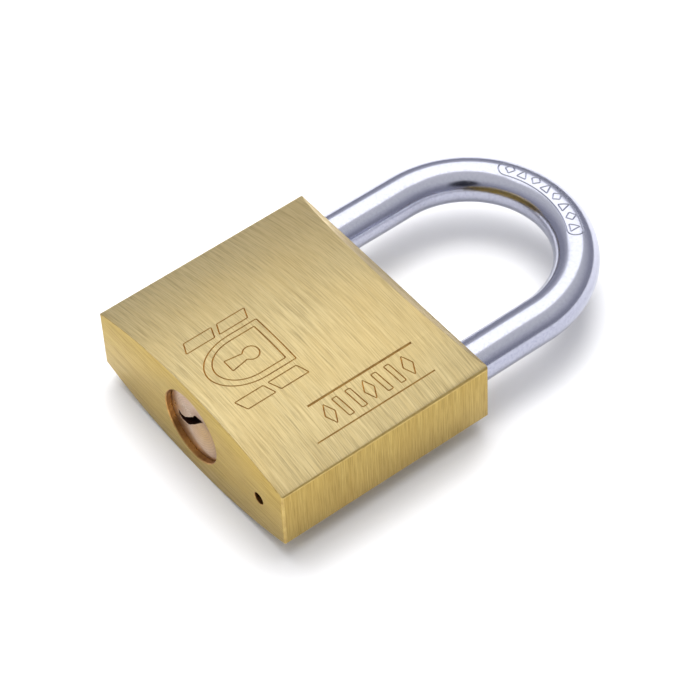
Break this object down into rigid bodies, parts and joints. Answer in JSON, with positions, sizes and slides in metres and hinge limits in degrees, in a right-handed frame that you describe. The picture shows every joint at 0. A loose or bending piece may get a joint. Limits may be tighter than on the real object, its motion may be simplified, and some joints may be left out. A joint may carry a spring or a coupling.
{
  "type": "padlock",
  "caption": "Brass block padlock with a chromed steel U shackle, a recessed keyed plug, spring bolts and pin stacks inside, lying on its back.",
  "frame": {"origin": "bottom centre of the whole lock as it lies on its back, under the middle of its length", "axes": "+Y from the keyway end towards the shackle, +X towards the heel leg side, +Z out of the engraved front face"},
  "size_m": [0.04, 0.064, 0.0159],
  "materials": {
    "case_brass": "fine brushed along the width on the two big faces and along the thickness on the flat sides, bright engraved marks",
    "shackle_chrome": "polished chrome plating on hardened steel",
    "plug_brass": "turned brass with a dull pinkish nickel wash",
    "cam_steel": "as machined",
    "bolt_steel": "ground and case hardened",
    "spring_steel": "drawn wire",
    "pin_steel": "ground",
    "key_pin_brass": "turned",
    "driver_pin_nickel": "turned nickel silver",
    "cap_brass": "pressed in and brushed flush with the side"
  },
  "bodies": {
    "case": {"case": "case_brass", "toe_bolt_spring": "spring_steel", "heel_bolt_spring": "spring_steel", "bolt_bore_cap": "cap_brass", "shackle_spring": "spring_steel", "shackle_retaining_pin": "pin_steel", "plug_retaining_pin": "pin_steel", "pin_spring_1": "spring_steel", "pin_spring_2": "spring_steel", "pin_spring_3": "spring_steel", "pin_spring_4": "spring_steel", "pin_spring_5": "spring_steel", "chamber_cap_1": "cap_brass", "chamber_cap_2": "cap_brass", "chamber_cap_3": "cap_brass", "chamber_cap_4": "cap_brass", "chamber_cap_5": "cap_brass"},
    "shackle": {"shackle": "shackle_chrome"},
    "plug": {"plug": "plug_brass"},
    "cam": {"cam": "cam_steel"},
    "toe_bolt": {"toe_bolt": "bolt_steel"},
    "heel_bolt": {"heel_bolt": "bolt_steel"},
    "key_pin_1": {"key_pin_1": "key_pin_brass"},
    "driver_pin_1": {"driver_pin_1": "driver_pin_nickel"},
    "key_pin_2": {"key_pin_2": "key_pin_brass"},
    "driver_pin_2": {"driver_pin_2": "driver_pin_nickel"},
    "key_pin_3": {"key_pin_3": "key_pin_brass"},
    "driver_pin_3": {"driver_pin_3": "driver_pin_nickel"},
    "key_pin_4": {"key_pin_4": "key_pin_brass"},
    "driver_pin_4": {"driver_pin_4": "driver_pin_nickel"},
    "key_pin_5": {"key_pin_5": "key_pin_brass"},
    "driver_pin_5": {"driver_pin_5": "driver_pin_nickel"}
  },
  "joints": [
    {"name": "shackle_lift", "type": "slide", "parent": "case", "child": "shackle", "axis": [0, 1, 0], "range_m": [0, 0.0125], "deforming": ["shackle_spring"]},
    {"name": "plug_turn", "type": "hinge", "parent": "case", "child": "plug", "pos_m": [0, -0.02205, 0.00795], "axis": [0, 1, 0], "range_deg": [0, 90]},
    {"name": "cam_turn", "type": "hinge", "parent": "case", "child": "cam", "pos_m": [0, -0.02205, 0.00795], "axis": [0, 1, 0], "range_deg": [-90, 0]},
    {"name": "toe_bolt_slide", "type": "slide", "parent": "case", "child": "toe_bolt", "axis": [1, 0, 0], "range_m": [-0.00212, 0], "deforming": ["toe_bolt_spring"]},
    {"name": "heel_bolt_slide", "type": "slide", "parent": "case", "child": "heel_bolt", "axis": [-1, 0, 0], "range_m": [-0.00212, 0], "deforming": ["heel_bolt_spring"]},
    {"name": "key_pin_1_slide", "type": "slide", "parent": "plug", "child": "key_pin_1", "axis": [-1, 0, 0], "range_m": [-0.0011, 0]},
    {"name": "driver_pin_1_slide", "type": "slide", "parent": "case", "child": "driver_pin_1", "axis": [-1, 0, 0], "range_m": [-0.0011, 0], "deforming": ["pin_spring_1"]},
    {"name": "key_pin_2_slide", "type": "slide", "parent": "plug", "child": "key_pin_2", "axis": [-1, 0, 0], "range_m": [-0.0018, 0]},
    {"name": "driver_pin_2_slide", "type": "slide", "parent": "case", "child": "driver_pin_2", "axis": [-1, 0, 0], "range_m": [-0.0018, 0], "deforming": ["pin_spring_2"]},
    {"name": "key_pin_3_slide", "type": "slide", "parent": "plug", "child": "key_pin_3", "axis": [-1, 0, 0], "range_m": [-0.0014, 0]},
    {"name": "driver_pin_3_slide", "type": "slide", "parent": "case", "child": "driver_pin_3", "axis": [-1, 0, 0], "range_m": [-0.0014, 0], "deforming": ["pin_spring_3"]},
    {"name": "key_pin_4_slide", "type": "slide", "parent": "plug", "child": "key_pin_4", "axis": [-1, 0, 0], "range_m": [-0.0009, 0]},
    {"name": "driver_pin_4_slide", "type": "slide", "parent": "case", "child": "driver_pin_4", "axis": [-1, 0, 0], "range_m": [-0.0009, 0], "deforming": ["pin_spring_4"]},
    {"name": "key_pin_5_slide", "type": "slide", "parent": "plug", "child": "key_pin_5", "axis": [-1, 0, 0], "range_m": [-0.0016, 0]},
    {"name": "driver_pin_5_slide", "type": "slide", "parent": "case", "child": "driver_pin_5", "axis": [-1, 0, 0], "range_m": [-0.0016, 0], "deforming": ["pin_spring_5"]}
  ],
  "couplings": [
    {"joint": "cam_turn", "follows": "toe_bolt_slide", "rad_per_m": 740.45},
    {"joint": "heel_bolt_slide", "follows": "toe_bolt_slide", "ratio": 1},
    {"joint": "driver_pin_1_slide", "follows": "key_pin_1_slide", "ratio": 1},
    {"joint": "driver_pin_2_slide", "follows": "key_pin_2_slide", "ratio": 1},
    {"joint": "driver_pin_3_slide", "follows": "key_pin_3_slide", "ratio": 1},
    {"joint": "driver_pin_4_slide", "follows": "key_pin_4_slide", "ratio": 1},
    {"joint": "driver_pin_5_slide", "follows": "key_pin_5_slide", "ratio": 1}
  ]
}
